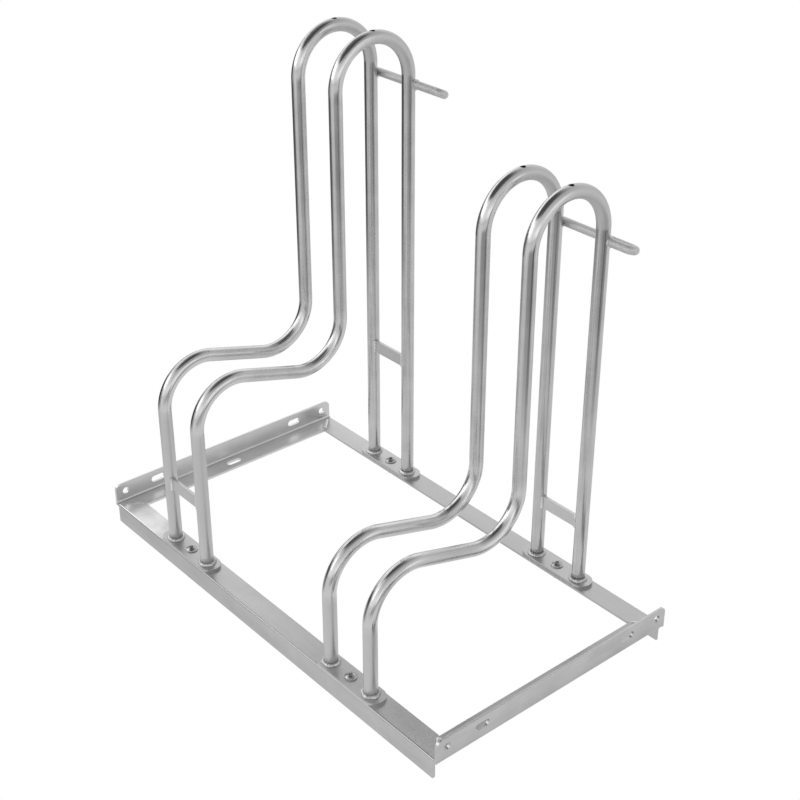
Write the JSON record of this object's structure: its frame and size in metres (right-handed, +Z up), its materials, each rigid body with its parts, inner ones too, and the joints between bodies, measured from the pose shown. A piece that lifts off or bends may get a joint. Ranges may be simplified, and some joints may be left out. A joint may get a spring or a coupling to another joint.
{
  "type": "floor bike rack",
  "caption": "Galvanised steel floor rack that holds bicycles upright by the wheel, between pairs of bent tubes at a high and a low level on a frame of angles.",
  "frame": {"origin": "on the floor, under the middle of the rectangle that the outer faces of the rails and end angles make", "axes": "+X along the rails from the high pair of hoops to the low pair, +Y away from the side that a wheel is pushed in from, towards the locking loops, +Z up"},
  "size_m": [0.7, 0.3927, 0.7049],
  "materials": {
    "galvanised_angle": "satin zinc with a soft grey cloud",
    "galvanised_tube": "smooth zinc, half gloss, with fine lengthwise marks",
    "galvanised_weld": "rippled weld metal under zinc",
    "bolt_steel": "zinc plated"
  },
  "bodies": {
    "root": {"front_rail": "galvanised_angle", "rear_rail": "galvanised_angle", "left_end_angle": "galvanised_angle", "right_end_angle": "galvanised_angle", "high_left_hoop": "galvanised_tube", "high_right_hoop": "galvanised_tube", "low_left_hoop": "galvanised_tube", "low_right_hoop": "galvanised_tube", "high_front_foot_plate": "galvanised_angle", "high_rear_foot_plate": "galvanised_angle", "low_front_foot_plate": "galvanised_angle", "low_rear_foot_plate": "galvanised_angle", "high_front_cross_bar": "galvanised_tube", "high_rear_cross_bar": "galvanised_tube", "low_rear_cross_bar": "galvanised_tube", "high_locking_loop": "galvanised_tube", "low_locking_loop": "galvanised_tube", "plate_bolts": "bolt_steel", "plate_washers": "bolt_steel", "plate_nuts": "bolt_steel", "high_foot_welds": "galvanised_weld", "low_foot_welds": "galvanised_weld", "cross_bar_welds": "galvanised_weld", "locking_loop_welds": "galvanised_weld", "corner_welds": "galvanised_weld"}
  },
  "joints": []
}
